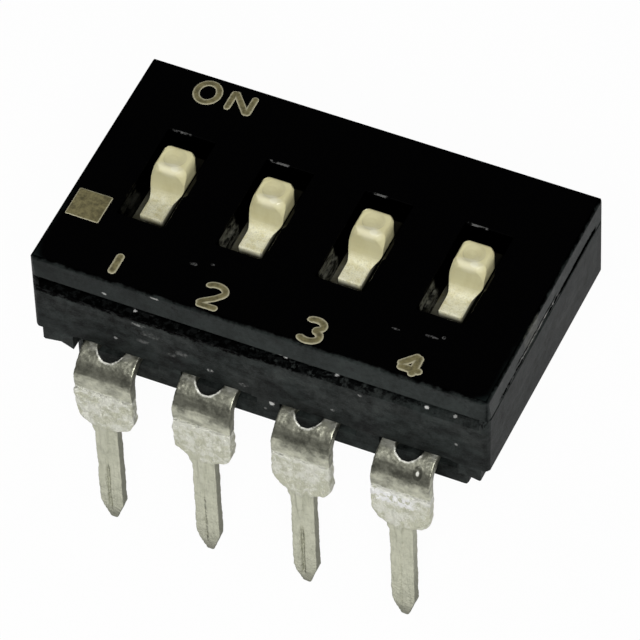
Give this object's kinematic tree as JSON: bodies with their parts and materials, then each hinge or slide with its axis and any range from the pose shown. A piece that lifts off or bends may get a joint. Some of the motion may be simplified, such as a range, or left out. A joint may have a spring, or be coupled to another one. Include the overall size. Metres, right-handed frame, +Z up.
{
  "type": "dip switch",
  "caption": "Slide DIP switch: flat black housing, ivory slide actuators in stepped slots, spring and ball contacts, and two rows of bent through-hole terminals.",
  "frame": {"origin": "middle of the housing's footprint, in the plane of the terminals' tips", "axes": "+X along the row of switches from switch 1 to switch 4, +Y towards the ON side, +Z up out of the cover"},
  "size_m": [0.0116, 0.008, 0.0086],
  "materials": {
    "base_plastic": "fine matt, glass filled",
    "cover_plastic": "polished top, satin sides",
    "slider_plastic": "ivory, slightly glossy",
    "spring_steel": "bright drawn wire",
    "contact_ball": "gold plated",
    "tinned_terminal": "dull tin plating"
  },
  "bodies": {
    "housing": {"base": "base_plastic", "cover": "cover_plastic", "terminal_front_1": "tinned_terminal", "terminal_front_2": "tinned_terminal", "terminal_front_3": "tinned_terminal", "terminal_front_4": "tinned_terminal", "terminal_back_1": "tinned_terminal", "terminal_back_2": "tinned_terminal", "terminal_back_3": "tinned_terminal", "terminal_back_4": "tinned_terminal"},
    "actuator_1": {"slider_1": "slider_plastic", "spring_1": "spring_steel", "ball_1": "contact_ball"},
    "actuator_2": {"slider_2": "slider_plastic", "spring_2": "spring_steel", "ball_2": "contact_ball"},
    "actuator_3": {"slider_3": "slider_plastic", "spring_3": "spring_steel", "ball_3": "contact_ball"},
    "actuator_4": {"slider_4": "slider_plastic", "spring_4": "spring_steel", "ball_4": "contact_ball"}
  },
  "joints": [
    {"name": "switch_1_slide", "type": "slide", "parent": "housing", "child": "actuator_1", "axis": [0, 1, 0], "range_m": [0, 0.00065]},
    {"name": "switch_2_slide", "type": "slide", "parent": "housing", "child": "actuator_2", "axis": [0, 1, 0], "range_m": [0, 0.00065]},
    {"name": "switch_3_slide", "type": "slide", "parent": "housing", "child": "actuator_3", "axis": [0, 1, 0], "range_m": [0, 0.00065]},
    {"name": "switch_4_slide", "type": "slide", "parent": "housing", "child": "actuator_4", "axis": [0, 1, 0], "range_m": [0, 0.00065]}
  ]
}
